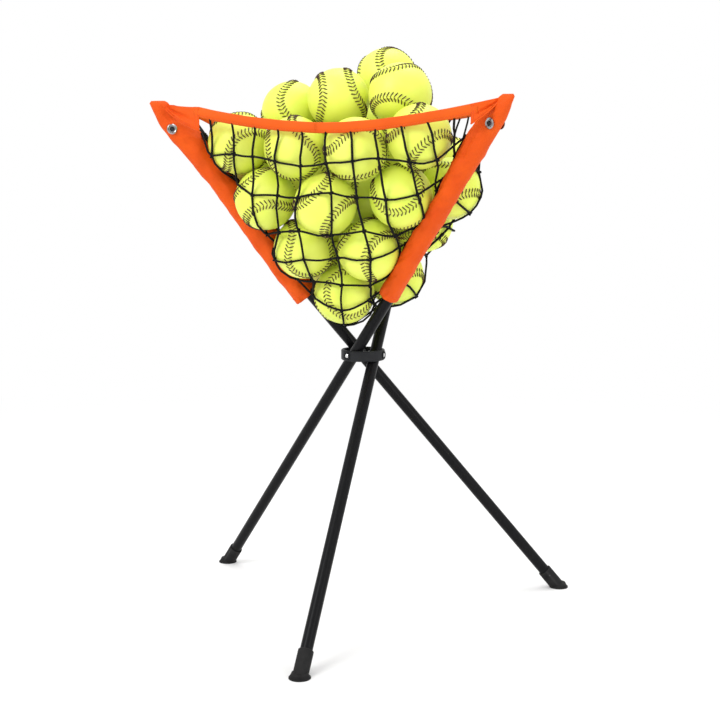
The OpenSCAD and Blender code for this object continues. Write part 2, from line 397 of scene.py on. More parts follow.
def pole_paint():
    """Gloss black powder coat, with its orange peel and a few fine rubs."""
    n = Nodes("pole_paint")
    place = n.place()
    peel = n.noise(place, 420.0, 2.0)
    rubs = n.noise(n.stretched(place, (60.0, 60.0, 14.0)), 6.0, 6.0, 0.7)
    colour = n.ramp(rubs, [(0.35, (0.0030, 0.0030, 0.0034)), (0.62, (0.006, 0.006, 0.007)),
                           (0.86, (0.022, 0.022, 0.023))])
    n.set(Base_Color=colour, Roughness=n.span(rubs, 0.26, 0.42), Coat_Weight=0.03,
          Coat_Roughness=0.12, Specular_IOR_Level=0.10)
    n.bump((peel, 0.00009, 0.35), (rubs, 0.00006, 0.3))
    return n.material


def moulded(name, dark, light, rough_low, rough_high, grain):
    """Moulded black plastic or rubber: a fine spark-eroded grain and dusty edges."""
    n = Nodes(name)
    place = n.place()
    dust = n.noise(place, 55.0, 5.0, 0.6)
    worn = n.add("ShaderNodeNewGeometry").outputs["Pointiness"]
    edges = n.ramp(worn, [(0.50, (0.0, 0.0, 0.0)), (0.58, (1.0, 1.0, 1.0))])
    colour = n.ramp(dust, [(0.3, dark), (0.75, light)])
    colour = n.mix(n.math("MULTIPLY", edges, 0.25), colour, tuple(min(1.0, 3.0 * c) for c in light))
    n.set(Base_Color=colour, Roughness=n.span(dust, rough_low, rough_high), Specular_IOR_Level=0.12)
    n.bump((n.cells(place, grain), 0.00012, 0.3), (dust, 0.0002, 0.15))
    return n.material


def metal(name, colour, rough, brushed):
    """Plated metal with fine turning marks and a little tarnish."""
    n = Nodes(name)
    place = n.place()
    marks = n.noise(n.stretched(place, (900.0, 900.0, 120.0)), 1.0, 3.0)
    tarnish = n.noise(place, 240.0, 4.0)
    tone = n.ramp(tarnish, [(0.35, tuple(0.7 * c for c in colour)), (0.6, colour)])
    n.set(Base_Color=tone, Metallic=1.0, Roughness=n.span(marks, rough, rough + brushed))
    n.bump((marks, 0.00003, 0.25))
    return n.material


def cork():
    n = Nodes("ball_core")
    place = n.place()
    colour = n.ramp(n.cells(place, 260.0), [(0.0, (0.16, 0.10, 0.05)), (0.6, (0.52, 0.38, 0.22))])
    n.set(Base_Color=colour, Roughness=0.85)
    n.bump((n.noise(place, 300.0, 5.0), 0.0004, 0.5))
    return n.material


LEATHER = ball_leather()
THREAD = ball_thread()
SLEEVE_CLOTH = woven(
    "sleeve_cloth", (0.67, 0.064, 0.002), (0.80, 0.098, 0.003), 0.04, (0.88, 0.15, 0.008))
BAND_CLOTH = woven("band_cloth", (0.66, 0.078, 0.002), (0.77, 0.108, 0.004), 0.04, (0.86, 0.16, 0.015))
SEWING = sewing_thread()
CORD = braided_cord()
PAINT = pole_paint()
HUB_PLASTIC = moulded("hub_plastic", (0.006, 0.0065, 0.007), (0.014, 0.0145, 0.016), 0.36, 0.52, 700.0)
CAP_PLASTIC = moulded("cap_plastic", (0.012, 0.012, 0.013), (0.024, 0.024, 0.026), 0.45, 0.6, 800.0)
RUBBER = moulded("foot_rubber", (0.0055, 0.0055, 0.006), (0.020, 0.0195, 0.0195), 0.50, 0.75, 500.0)
CHROME = metal("stud_chrome", (0.40, 0.40, 0.41), 0.16, 0.16)
# painted shade: a near-black metal for the hollow in the middle of each stud
PAINTED_HOLE_SHADE = metal("stud_hole", (0.045, 0.045, 0.048), 0.40, 0.20)
RIVET_STEEL = metal("rivet_steel", (0.78, 0.78, 0.77), 0.20, 0.20)
PIN_STEEL = metal("pin_steel", (0.10, 0.10, 0.10), 0.38, 0.25)
CORK = cork()

for node, material in [
    ("hub_ring", HUB_PLASTIC), ("pivot_rivets", RIVET_STEEL),
    ("ball_cores", CORK), ("top_ball_core", CORK),
    *[(f"{kind}_{leg.name}", finish) for leg in LEGS for kind, finish in (
        ("pole", PAINT), ("pole_cap", CAP_PLASTIC), ("foot", RUBBER), ("foot_pin", PIN_STEEL),
        ("corner_stud", CHROME))],
]:
    mesh = frame["nodes"][node].data
    mesh.materials.clear()
    mesh.materials.append(material)
for leg in LEGS:
    # the middle of each stud is a hollow, and its shade is painted on as a dark metal
    mesh = frame["nodes"][f"corner_stud_{leg.name}"].data
    mesh.materials.append(PAINTED_HOLE_SHADE)
    middle = np.mean([np.array(corner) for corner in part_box(f"corner_stud_{leg.name}")], axis=0)
    for polygon in mesh.polygons:
        away = np.array(polygon.center) - middle
        if np.linalg.norm(away - (away @ leg.out) * leg.out) < STUD_HOLE_R:
            polygon.material_index = 1


# ---- building meshes ----
class Piece:
    """Collects the points, faces and UVs of one piece."""

    def __init__(self):
        self.points = []
        self.faces = []
        self.uvs = []
        self.slots = []

    def add(self, points, faces, uvs, slot=0):
        """uvs holds one pair for each corner of each face."""
        base = len(self.points)
        self.points.extend(map(tuple, points))
        for face in faces:
            self.faces.append([base + i for i in face])
            self.slots.append(slot)
        self.uvs.extend(uvs)

    def add_grid(self, rows, around, u, v, slot=0, caps=(False, False)):
        """A grid of points. around closes each row on itself, u and v are its UVs."""
        rows = np.asarray(rows, float)
        count, width = rows.shape[:2]
        faces, uvs = [], []
        columns = width if around else width - 1
        for i in range(count - 1):
            for j in range(columns):
                k = (j + 1) % width
                faces.append((i * width + j, i * width + k, (i + 1) * width + k, (i + 1) * width + j))
                uvs += [(u[i], v[j]), (u[i], v[j + 1]), (u[i + 1], v[j + 1]), (u[i + 1], v[j])]
        if caps[0]:
            faces.append(tuple(reversed(range(width))))
            uvs += [(u[0], v[j]) for j in reversed(range(width))]
        if caps[1]:
            faces.append(tuple((count - 1) * width + j for j in range(width)))
            uvs += [(u[-1], v[j]) for j in range(width)]
        self.add(rows.reshape(-1, 3), faces, uvs, slot)

    def add_tube(self, path, radius, sides=6, slot=0, closed=False, taper=None):
        """A round tube along the points of path."""
        path = np.asarray(path, float)
        if closed:
            before, after = np.roll(path, 1, axis=0), np.roll(path, -1, axis=0)
        else:
            before = np.vstack([path[:1], path[:-1]])
            after = np.vstack([path[1:], path[-1:]])
        ahead = after - before
        ahead /= np.linalg.norm(ahead, axis=1)[:, None] + 1e-12
        across = np.cross(ahead[0], UP)
        if np.linalg.norm(across) < 0.1:
            across = np.cross(ahead[0], (1.0, 0.0, 0.0))
        rows = []
        radii = np.full(len(path), radius) if taper is None else radius * np.asarray(taper)
        angles = 2 * math.pi * np.arange(sides) / sides
        for point, direction, r in zip(path, ahead, radii):
            across = unit(across - direction * (across @ direction))
            up = np.cross(direction, across)
            rows.append(point + r * (np.cos(angles)[:, None] * across + np.sin(angles)[:, None] * up))
        if closed:
            rows.append(rows[0])
        steps = np.linalg.norm(np.diff(path, axis=0), axis=1)
        u = np.concatenate([[0.0], np.cumsum(steps)])
        if closed:
            u = np.append(u, u[-1] + np.linalg.norm(path[0] - path[-1]))
        v = np.arange(sides + 1) / sides
        ends = (not closed, not closed)
        self.add_grid(rows, True, u, v, slot, ends)

    def build(self, name, materials):
        mesh = bpy.data.meshes.new(name)
        mesh.from_pydata(self.points, [], self.faces)
        for material in materials:
            mesh.materials.append(material)
        mesh.polygons.foreach_set("material_index", self.slots)
        # the end caps, which have more than four corners, stay flat
        mesh.polygons.foreach_set("use_smooth", [len(face) <= 4 for face in self.faces])
        layer = mesh.uv_layers.new(name="UVMap")
        layer.data.foreach_set("uv", np.asarray(self.uvs, np.float32).ravel())
        mesh.validate()
        mesh.update()
        return mesh


def as_object(name, mesh):
    piece = bpy.data.objects.new(name, mesh)
    bpy.context.scene.collection.objects.link(piece)
    return piece


# ---- balls ----
low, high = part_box("ball_01")
BALL_R = (high.x - low.x) / 2
PANEL_R = BALL_R - 0.0007          # leather away from the seams
SEAM_SHAPE = 0.44
SEAM_STEPS = 300
STITCH_PITCH = 0.0057
STITCH_REACH = 0.0072
STITCH_LEAN = 0.0038
STITCH_R = 0.00074
# Height of the sewn seam above the panels, by distance from its middle
LIP = [(0.0, 0.00055), (0.0004, 0.00095), (0.0012, 0.00120), (0.0024, 0.00075), (0.0036, 0.00022)]


def seam_point(t):
    """The seam's direction from the ball's middle. t runs once round from 0 to 4 pi."""
    polar = math.pi / 2 - (math.pi / 2 - SEAM_SHAPE) * math.cos(t)
    turn = t / 2 + SEAM_SHAPE * math.sin(2 * t)
    out = math.sin(polar)
    return np.array((out * math.cos(turn), out * math.sin(turn), math.cos(polar)))


def even_seam(count):
    """count directions spaced evenly along the closed seam, with the direction ahead at each."""
    fine = np.array([seam_point(4 * math.pi * i / 4000) for i in range(4001)])
    length = np.concatenate([[0.0], np.cumsum(np.linalg.norm(np.diff(fine, axis=0), axis=1))])
    places = np.linspace(0.0, length[-1], count + 1)[:-1]
    points = np.stack([np.interp(places, length, fine[:, a]) for a in range(3)], axis=1)
    points /= np.linalg.norm(points, axis=1)[:, None]
    ahead = np.roll(points, -1, axis=0) - np.roll(points, 1, axis=0)
    ahead -= points * (ahead * points).sum(axis=1)[:, None]
    ahead /= np.linalg.norm(ahead, axis=1)[:, None]
    return points, ahead, length[-1]


def seam_height(offset):
    return np.interp(abs(offset), [d for d, _ in LIP], [h for _, h in LIP], right=0.0)


def on_ball(middle, ahead, forward, offset, height):
    """Point beside the seam: forward along it, offset to its side, height over the panels."""
    side = np.cross(middle, ahead)
    direction = unit(middle + (forward * ahead + offset * side) / PANEL_R)
    return direction * (PANEL_R + height)


def cube_sphere(cells):
    """Unit directions and quads of a sphere made from an evenly divided cube."""
    steps = np.tan(np.linspace(-math.pi / 4, math.pi / 4, cells + 1))
    index, points, quads = {}, [], []

    def corner(p):
        key = tuple(np.round(p, 6))
        if key not in index:
            index[key] = len(points)
            points.append(unit(p))
        return index[key]

    for axis in range(3):
        for sign in (-1.0, 1.0):
            for i in range(cells):
                for j in range(cells):
                    quad = []
                    for a, b in ((i, j), (i + 1, j), (i + 1, j + 1), (i, j + 1)):
                        p = np.zeros(3)
                        p[axis] = sign
                        p[(axis + 1) % 3] = steps[a] * sign
                        p[(axis + 2) % 3] = steps[b]
                        quad.append(corner(p))
                    quads.append(quad)
    return np.array(points), quads


def ball_mesh():
    piece = Piece()
    directions, quads = cube_sphere(30)
    seam, ahead, length = even_seam(SEAM_STEPS)
    away = np.arccos(np.clip((directions @ seam.T).max(axis=1), -1, 1)) * PANEL_R
    swell = 0.0004 * np.exp(-((away / 0.0045) ** 2))
    dents = np.array([noise.noise(Vector(d * 2.3)) for d in directions]) * 0.00025
    sphere = directions * (PANEL_R + swell + dents)[:, None]
    piece.add(sphere, quads, [(0.0, 0.0)] * (4 * len(quads)))
    shell_count = len(sphere)

    offsets = [-d for d, _ in reversed(LIP)] + [d for d, _ in LIP[1:]]
    offsets = [-0.0044] + offsets + [0.0044]
    rows = []
    for middle, forward in zip(seam, ahead):
        heights = [seam_height(o) + 0.0003 for o in offsets]
        heights[0] = heights[-1] = -0.0003
        rows.append([on_ball(middle, forward, 0.0, o, h) for o, h in zip(offsets, heights)])
    rows.append(rows[0])
    around = np.arange(len(rows)) / len(rows)
    piece.add_grid(rows, False, around, offsets)
    welt_count = len(rows) * len(offsets)

    stitches = int(round(length * PANEL_R / STITCH_PITCH))
    middles, forwards, _ = even_seam(stitches)
    for middle, forward in zip(middles, forwards):
        for side in (-1.0, 1.0):
            path = []
            for q in (0.0, 0.12, 0.35, 0.62, 0.86, 1.0):
                reach = STITCH_REACH + (0.0003 - STITCH_REACH) * q
                height = seam_height(reach) + 0.0004 + 0.0005 * math.sin(math.pi * q)
                if q == 0.0:
                    height = -0.0006
                path.append(on_ball(middle, forward, STITCH_LEAN * q, side * reach, height))
            piece.add_tube(path, STITCH_R, 5, 1, taper=(0.8, 1.0, 1.15, 1.1, 0.95, 0.6))
    mesh = piece.build("softball", [LEATHER, THREAD])
    near = mesh.attributes.new("near_seam", "FLOAT", "POINT")
    values = np.zeros(len(mesh.vertices))
    values[:shell_count] = np.exp(-((away / 0.006) ** 2))
    values[shell_count:shell_count + welt_count] = 1.0
    near.data.foreach_set("value", values)
    return mesh


def islands(mesh):
    """Middles of a mesh's separate closed shells, without repeats."""
    points = np.array([vertex.co for vertex in mesh.vertices])
    welded = np.unique(np.round(points, 5), axis=0, return_inverse=True)[1].ravel()
    edges = welded[np.array([edge.vertices[:] for edge in mesh.edges])]
    shell = np.arange(len(points))
    before = None
    while before is None or (shell != before).any():
        before = shell.copy()
        least = shell[edges].min(axis=1)
        for side in (0, 1):
            np.minimum.at(shell, edges[:, side], least)
    shells = shell[welded]
    middles = []
    for first in sorted(np.unique(shells, return_index=True)[1]):
        group = points[shells == shells[first]]
        middle = (group.min(axis=0) + group.max(axis=0)) / 2
        if not any(np.linalg.norm(middle - m) < BALL_R for m in middles):
            middles.append(middle)
    return middles


BALLS = []
for node in sorted(n for n in frame["nodes"] if n.startswith("ball_") and n[5:].isdigit()):
    low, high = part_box(node)
    BALLS.append((node, np.array((low + high) / 2)))
for middle in islands(frame["nodes"]["inner_balls"].data):
    BALLS.append(("inner_balls", middle))
BALL_MIDDLES = np.array([middle for _, middle in BALLS])

softball = ball_mesh()
for number, (node, middle) in enumerate(BALLS, 1):
    name = f"softball_{number:02d}"
    piece = as_object(name, softball)
    turn = Vector(rng.normal(size=3)).normalized()
    spin = rng.uniform(0, 2 * math.pi)
    piece.matrix_world = Matrix.Translation(middle) @ Matrix.Rotation(spin, 4, turn)
    body = "top_ball" if node == "ball_03" else "balls"
    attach(piece, body)
    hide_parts(node)


def clear_of_balls(points, gap):
    """Points pushed out of the balls, to gap above their surface."""
    moved = np.array(points, float)
    flat = moved.reshape(-1, 3)
    for _ in range(3):
        for middle in BALL_MIDDLES:
            away = flat - middle
            distance = np.linalg.norm(away, axis=1)
            inside = distance < BALL_R + gap
            flat[inside] = middle + away[inside] / distance[inside][:, None] * (BALL_R + gap)
    return moved


# ---- reach of the sleeves ----
STUD = np.mean([np.array(corner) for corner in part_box("corner_stud_a")], axis=0)
STUD_S = float((STUD - LEGS[0].pivot) @ LEGS[0].along)
# Reach of each sleeve from the pole's axis, at distances from its lower end: it hangs
# outwards where it is loose, and inwards where the net pulls on it
OUTER_REACH = {
    "a": [(0.0, 0.0135), (0.09, 0.0112), (0.20, 0.0106)],
    "b": [(0.0, 0.0150), (0.09, 0.0115), (0.20, 0.0106)],
    "c": [(0.0, 0.0278), (0.025, 0.0264), (0.066, 0.0253), (0.235, 0.0108)],
}
INNER_REACH = {
    "a": [(0.0, 0.0210), (0.10, 0.0235), (0.18, 0.0240), (0.30, 0.0320), (0.325, 0.0300)],
    "b": [(0.0, 0.0190), (0.10, 0.0235), (0.18, 0.0240), (0.30, 0.0300), (0.325, 0.0290)],
    "c": [(0.0, 0.0120), (0.05, 0.0150), (0.09, 0.0230), (0.13, 0.0300), (0.25, 0.0270),
          (0.30, 0.0330), (0.325, 0.0300)],
}
TIP_BEND = {"a": 0.0055, "b": 0.007, "c": 0.0105}   # how far a tip leans in, beyond its pole
TIP_FREE = 0.036               # length of a tip beyond the end of its pole
TIP_ROUND = 0.0065             # length over which a tip rounds off
SLEEVE_WIDE = 0.0180           # to each side: at the lower end, at the stud, at the tip
STUD_WIDE = 0.0124
TIP_WIDE = 0.0066
TIP_INNER, TIP_OUTER = 0.0125, 0.0105
HEM_UP = 0.009                 # from a sleeve's lower end to its line of stitches
SLEEVE_STEPS = 104
SLEEVE_SIDES = 40


def along_profile(profile, distance):
    return float(np.interp(distance, [d for d, _ in profile], [r for _, r in profile]))


def sleeve_reach(leg, s):
    """Reach of the cloth from the pole's axis: outwards, inwards, and to each side."""
    from_end = s - leg.start
    from_tip = leg.tip - s
    outer = along_profile(OUTER_REACH[leg.name], from_end)
    inner = along_profile(INNER_REACH[leg.name], from_end)
    wide = SLEEVE_WIDE - 0.001 * smooth(from_end / 0.2)
    wide += (STUD_WIDE - wide) * math.exp(-(((s - STUD_S) / 0.028) ** 2))
    if s > STUD_S:
        wide = min(wide, STUD_WIDE)
    inner += (TIP_INNER - inner) * smooth(1 - from_tip / 0.060)
    outer += (TIP_OUTER - outer) * smooth(1 - from_tip / 0.024)
    wide += (TIP_WIDE - wide) * smooth(1 - from_tip / 0.030)
    close = math.sqrt(max(0.0, 1 - max(0.0, 1 - from_tip / TIP_ROUND) ** 2))
    return outer * (0.35 + 0.65 * close), inner * (0.70 + 0.30 * close), wide * (0.5 + 0.5 * close)


# ---- the net ----
KNOT_Z = HUB_Z + 0.0435         # where the three panels are drawn together, under the balls
BULGE_Z = HUB_Z + BULGE_UP
NET_EDGE = 0.014                # from the pole's axis to the net's lowest corner, inside the sleeve
NET_FROM_TIP = 0.094            # from a corner's tip to where the net is first sewn to the sleeve
BAR_PARTS = 4                   # pieces of cord from one knot to the next
RELAX_STEPS = 260
SLACK = 0.0045                  # how far the cords stray from their tight line
WANDER_SHIFTS = (0.0, 7.3, 19.1)   # where each axis reads the noise that does it
CORD_GAP = 0.0007               # left between a cord and a ball


def bulge(z):
    return BULGE * max(0.0, 1 - abs((z - BULGE_Z) / BULGE_SPAN) ** 3)


def net_half(span, z):
    """Half the width of a panel at height z. Below the sleeves it narrows to the knot."""
    if z >= SLEEVE_END_Z:
        return span.half(z)
    low = span.half(SLEEVE_END_Z)
    return low * max(0.0, (z - KNOT_Z) / (SLEEVE_END_Z - KNOT_Z)) ** 0.6


def net_point(span, p, z):
    if z >= SLEEVE_END_Z:
        return span.point(p, z, bulge(z), NET_FULLNESS)
    share = (z - KNOT_Z) / (SLEEVE_END_Z - KNOT_Z)
    spread = math.sqrt(max(0.0, 1 - (1 - share) ** 2))
    edge = span.point(p / max(0.2, spread), SLEEVE_END_Z, bulge(SLEEVE_END_Z), NET_FULLNESS)
    knot = np.array((HUB[0], HUB[1], z))
    edge[2] = z
    return knot + (edge - knot) * spread


class Net:
    """Nodes and cords of the whole net, before they are drawn tight over the balls."""

    def __init__(self):
        self.points = []
        self.pinned = []
        self.cords = []
        self.knots = []

    def node(self, point, pinned=False):
        self.points.append(np.asarray(point, float))
        self.pinned.append(pinned)
        return len(self.points) - 1

    def cord(self, half, nodes):
        """A cord through these nodes, with finer nodes put in between, for one half panel."""
        chain = [nodes[0]]
        for a, b in zip(nodes[:-1], nodes[1:]):
            for i in range(1, BAR_PARTS):
                share = i / BAR_PARTS
                chain.append(self.node(self.points[a] * (1 - share) + self.points[b] * share))
            chain.append(b)
        self.cords.append((half, chain))

    def relax(self):
        points = np.array(self.points)
        free = ~np.array(self.pinned)
        links = np.array([pair for _, chain in self.cords for pair in zip(chain[:-1], chain[1:])])
        pull = rng.uniform(0.55, 1.7, len(links))
        total = np.zeros(len(points))
        np.add.at(total, links[:, 0], pull)
        np.add.at(total, links[:, 1], pull)
        total[total == 0] = 1.0
        for _ in range(RELAX_STEPS):
            mean = np.zeros_like(points)
            np.add.at(mean, links[:, 0], points[links[:, 1]] * pull[:, None])
            np.add.at(mean, links[:, 1], points[links[:, 0]] * pull[:, None])
            mean /= total[:, None]
            points[free] += 0.6 * (mean[free] - points[free])
            points[free] = clear_of_balls(points[free], CORD_R + CORD_GAP)
        # no cord hangs quite straight
        wander = np.array([[noise.noise(Vector(p * 24.0 + shift)) for shift in WANDER_SHIFTS]
                           for p in points])
        points[free] = clear_of_balls(points[free] + SLACK * wander[free], CORD_R + CORD_GAP)
        self.points = points


net = Net()
lowest_ball = BALL_MIDDLES[np.argmin(BALL_MIDDLES[:, 2])]
knot_node = net.node(lowest_ball - UP * (BALL_R + CORD_R + CORD_GAP), True)
sleeve_feet = []
seam_chains = []
for leg in LEGS:
    foot = net.node(leg.at(leg.start + 0.004, NET_EDGE), True)
    sleeve_feet.append(foot)
    low = net.points[foot]
    steps = []
    for share in (0.3, 0.62):
        turn = share * math.pi / 2
        p = np.array(low)
        p[:2] = HUB[:2] + (low[:2] - HUB[:2]) * math.cos(turn)
        p[2] = low[2] - (low[2] - KNOT_Z) * math.sin(turn)
        steps.append(net.node(p))
    seam_chains.append([foot, *steps, knot_node])
for k, chain in enumerate(seam_chains):
    net.cord((k, -1), chain)


def on_sleeve_edge(leg, s, sign):
    """Where the net is sewn to a sleeve: its inner edge, on the side of the panel."""
    point = leg.at(s, sleeve_reach(leg, s)[1] - 0.0010, sign * 0.0040)
    return clear_of_balls([point], CORD_R + CORD_GAP)[0]


def edge_node(k, point, sign):
    """Node where a cord at this point meets the sleeve, or the seam below the sleeves."""
    number = (k + 1) % 3 if sign > 0 else k
    if point[2] > SLEEVE_END_Z + 0.004:
        s = LEGS[number].distance(point[2])
        selvages[k, sign].append((s, net.node(on_sleeve_edge(LEGS[number], s, sign), True)))
        return selvages[k, sign][-1][1]
    return min(seam_chains[number][:-1], key=lambda n: np.linalg.norm(net.points[n] - point))


def place_of_vertical(k, i):
    return i * (TAUT_PITCH if k == 0 else NET_PITCH) + NET_SHIFT


def hang_vertical(k, i):
    """Nodes of vertical i of panel k, from the band down to its last row."""
    span = SPANS[k]
    p = place_of_vertical(k, i)
    start = band_point(span, p) - UP * (band_height(span, p) - 0.002) - span.face() * BAND_THICK / 2
    nodes = [net.node(start, True)]
    z = start[2]
    while True:
        above = z > SLEEVE_END_Z
        z -= NET_DROPS[min(len(nodes), len(NET_DROPS)) - 1] * (1.0 if above else LOW_DROPS)
        spread = p * (1 + SPREAD * len(nodes)) if z > SLEEVE_END_Z else p
        if z < KNOT_Z + 0.010 or abs(spread) > net_half(span, z) - 0.55 * NET_PITCH:
            return nodes
        nodes.append(net.node(net_point(span, spread, z)))


def end_of_vertical(k, i, nodes):
    """Node where a vertical ends: on the sleeve, on the seam, or at the knot."""
    last = net.points[nodes[-1]]
    sign = 1 if i > 0 else -1
    if last[2] > SLEEVE_END_Z:
        p = abs(place_of_vertical(k, i)) * (1 + SPREAD * len(nodes))
        z = last[2] - NET_DROPS[-1] * 0.6
        while z > SLEEVE_END_Z and SPANS[k].half(z) > p + 0.004:
            z -= 0.004
        return edge_node(k, np.array((0.0, 0.0, z)), sign)
    if i == 0:
        return knot_node
    return edge_node(k, last - UP * 0.02, sign)


selvages = {(k, sign): [] for k in range(3) for sign in (-1, 1)}
for k in range(3):
    count = TAUT_VERTICALS if k == 0 else NET_VERTICALS
    verticals = {i: hang_vertical(k, i) for i in range(-count, count + 1)}
    for i, nodes in verticals.items():
        net.cord((k, 1 if i >= 0 else -1), nodes + [end_of_vertical(k, i, nodes)])
    for j in range(1, len(verticals[0])):
        for sign in (-1, 1):
            reached = [i * sign for i in range(count + 1) if j < len(verticals[i * sign])]
            row = [verticals[i][j] for i in reached]
            net.cord((k, sign), row + [edge_node(k, net.points[row[-1]] + UP * 0.006, sign)])
            net.knots += [((k, sign), n) for n in row if sign > 0 or n != row[0]]
for (k, sign), ends in selvages.items():
    leg = LEGS[(k + 1) % 3 if sign > 0 else k]
    top = leg.tip - NET_FROM_TIP
    chain = [(top, net.node(on_sleeve_edge(leg, top, sign), True)), *ends,
             (leg.start + 0.004, sleeve_feet[LEGS.index(leg)])]
    chain.sort(reverse=True)
    net.cord((k, sign), [n for _, n in chain])
    net.knots += [((k, sign), n) for _, n in chain[1:-1]]
net.relax()


def fold_share(span, sign, point, middle):
    """How far a point of net or band follows its pole: 0 at the middle, 1 at the pole."""
    half = max(1e-4, net_half(span, max(point[2], KNOT_Z + 0.002)))
    share = sign * (span.offset(point) - middle) / max(1e-4, half - sign * middle)
    depth = smooth((point[2] - KNOT_Z) / (SLEEVE_END_Z - KNOT_Z))
    return float(smooth(share) * depth)


def ride_half(piece, span, sign, leg, middle=0.0):
    """Bakes the piece's transform into its points and works out each point's fold_share between the hub and one
    pole; the piece is not bent by it.
    """
    tuple(leg.at_height(RIM_Z))
    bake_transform(piece)
    shares = [fold_share(span, sign, np.array(v.co), middle) for v in piece.data.vertices]


def add_knot(piece, middle, size=0.0024):
    """A small closed overhand knot."""
    tilt = Matrix.Rotation(rng.uniform(0, 6.28), 3, Vector(rng.normal(size=3)).normalized())
    path = []
    for i in range(15):
        t = 2 * math.pi * i / 15
        local = Vector((math.sin(t) + 1.3 * math.sin(2 * t), math.cos(t) - 1.3 * math.cos(2 * t),
                        -0.8 * math.sin(3 * t)))
        path.append(np.array(tilt @ local) * size * 0.55 + middle)
    piece.add_tube(path, CORD_R * 0.9, 5, closed=True)


halves = {(k, sign): Piece() for k in range(3) for sign in (-1, 1)}
for half, chain in net.cords:
    halves[half].add_tube([net.points[n] for n in chain], CORD_R)
for half, n in net.knots:
    add_knot(halves[half], net.points[n])
add_knot(halves[0, -1], net.points[knot_node], 0.004)

for (k, sign), piece in halves.items():
    span = SPANS[k]
    leg = span.first if sign < 0 else span.second
    name = f"net_{SIDES[k]}_by_{leg.name}"
    panel = as_object(name, piece.build(name, [CORD]))
    ride_half(panel, span, sign, leg, NET_SHIFT)
    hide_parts(f"net_panel_{SIDES[k]}")


def sew(piece, start, end, face):
    """One stitch of a seam, from start to end, lying on the side that face points to."""
    path = [start + (end - start) * t + face * lift
            for t, lift in ((0.0, -0.0003), (0.25, 0.0003), (0.75, 0.0003), (1.0, -0.0003))]
    piece.add_tube(path, 0.00030, 4, 1)


# ---- the rim band ----
# Its cross-section: shares of its depth downwards, and of its thickness outwards
BAND_RING = [(0.0, 0.0), (0.10, 0.30), (0.5, 0.5), (0.90, 0.38),
             (1.0, 0.0), (0.90, -0.42), (0.5, -0.5), (0.10, -0.30)]
STITCH_STEP, STITCH_LENGTH = 0.0042, 0.0027    # of the stitches along its lower edge


def band_row(span, p, height):
    """One cross-section of the band: a folded hem, standing on edge."""
    top = band_point(span, p)
    ahead = band_point(span, p + 0.002) - band_point(span, p - 0.002)
    face = unit(np.cross(ahead, UP))
    if face @ span.face() < 0:
        face = -face
    wave = 0.0005 * noise.noise(Vector((p * 38.0, span.k * 7.0, 0.3)))
    row = []
    for down, thick in BAND_RING:
        ripple = 0.0006 * noise.noise(Vector((p * 55.0, down * 3.0, span.k * 5.0 + 2.0)))
        swell = BAND_THICK * (thick - 0.5) + ripple
        row.append(top - UP * (down * height + wave) + face * swell)
    return row


def band_half(span, leg, sign):
    piece = Piece()
    length = span.half(RIM_Z) - web_length(span, leg) + 0.010
    steps = 46
    rows, u = [], []
    for i in range(steps + 1):
        p = sign * length * i / steps
        rows.append(band_row(span, p, band_height(span, p)))
        u.append(abs(p))
    v = [0.0, 0.003, 0.009, 0.015, 0.018, 0.021, 0.027, 0.033, 0.036]
    piece.add_grid(rows, True, u, v, caps=(True, True))
    # a line of stitches along the lower edge, on the outer face
    for i in range(int(length / STITCH_STEP)):
        ends = []
        for share in (0.0, STITCH_LENGTH / STITCH_STEP):
            p = sign * (i + share) * STITCH_STEP
            row = band_row(span, p, band_height(span, p))
            ends.append(row[2] * 0.25 + row[3] * 0.75)
        sew(piece, ends[0], ends[1], unit(row[2] - row[6]))
    mesh = piece.build(f"band_{SIDES[span.k]}_{leg.name}", [BAND_CLOTH, SEWING])
    return as_object(f"rim_band_{SIDES[span.k]}_by_{leg.name}", mesh), length


for span in SPANS:
    for sign, leg in ((-1, span.first), (1, span.second)):
        band, length = band_half(span, leg, sign)
        ride_half(band, span, sign, leg)
        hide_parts(f"rim_band_{SIDES[span.k]}")


# ---- sleeves and corners ----
# Creases pressed into the cloth: leg, start (share of length, angle), end, width, depth
CREASES = [
    ("a", (0.88, 0.75), (0.52, 1.15), 0.16, 0.0034),
    ("a", (0.90, 1.35), (0.70, 1.75), 0.12, 0.0015),
    ("a", (0.50, 0.55), (0.04, 0.80), 0.26, 0.0026),
    ("a", (0.30, -0.9), (0.12, -1.5), 0.20, 0.0016),
    ("b", (0.86, -0.8), (0.50, -1.2), 0.16, 0.0030),
    ("b", (0.60, 1.4), (0.30, 1.0), 0.20, 0.0018),
    ("c", (0.92, -0.6), (0.74, -0.95), 0.14, 0.0034),
    ("c", (0.60, -0.80), (0.03, -0.62), 0.26, 0.0036),
    ("c", (0.50, -1.2), (0.36, -0.6), 0.20, 0.0020),
    ("c", (0.30, -0.7), (0.20, -1.5), 0.22, 0.0022),
    ("c", (0.16, -1.3), (0.02, -0.8), 0.22, 0.0018),
]
ANGLE_SHARE = 0.12           # one radian round a sleeve, as a share of its length
EDGE_RIPPLE = 0.0011         # of the cloth's folded edges, and of its faces
FACE_RIPPLE = 0.0024
PUCKER = 0.0042


def crease_depth(leg, share, angle):
    """How deep the cloth is pressed in here, with a slight ridge beside each crease."""
    depth = 0.0
    for name, start, end, width, deep in CREASES:
        if name != leg.name:
            continue
        along = np.array((end[0] - start[0], (end[1] - start[1]) * ANGLE_SHARE))
        here = np.array((share - start[0], (angle - start[1]) * ANGLE_SHARE))
        t = float(np.clip(here @ along / (along @ along), 0.0, 1.0))
        centre = start[1] + (end[1] - start[1]) * t
        beyond = abs(share - start[0] - (end[0] - start[0]) * t)
        across = (angle - centre) / width
        fade = math.exp(-((beyond / 0.03) ** 2)) * (0.35 + 0.65 * math.sin(math.pi * (0.1 + 0.8 * t)))
        depth += deep * fade * (math.exp(-(across**2)) - 0.45 * math.exp(-((across - 1.9) ** 2)))
    return depth


